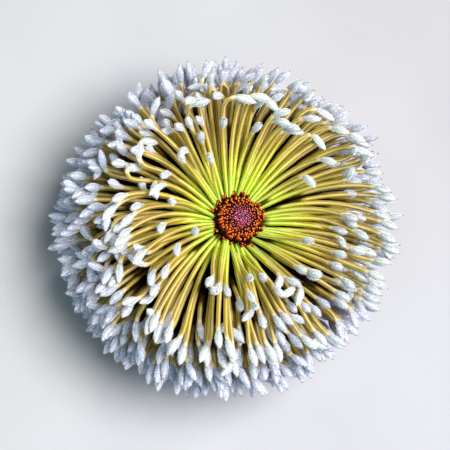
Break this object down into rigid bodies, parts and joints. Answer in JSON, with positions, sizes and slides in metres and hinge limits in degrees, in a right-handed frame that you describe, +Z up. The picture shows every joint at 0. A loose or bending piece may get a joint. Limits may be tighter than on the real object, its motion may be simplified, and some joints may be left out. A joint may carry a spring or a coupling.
{
  "type": "banksia flower head",
  "caption": "Round banksia flower head in bud: slender florets with woolly white tips radiate from a short axis round a rust-red growing tip.",
  "frame": {"origin": "centre of the stalk's flat cut face, which the flower head stands on", "axes": "+Z runs up the axis of the head, from the cut face to the growing tip; +X and +Y lie in the cut face"},
  "size_m": [0.0948, 0.0957, 0.0789],
  "materials": {
    "floret": "waxy golden-green tubes with woolly, silver-white tips",
    "bract": "velvety, rust red to maroon",
    "stalk_wood": "rough bark with a fresh, pale cut face"
  },
  "bodies": {
    "root": {"floret_head": "floret", "bract_crown": "bract", "stalk": "stalk_wood"}
  },
  "joints": []
}
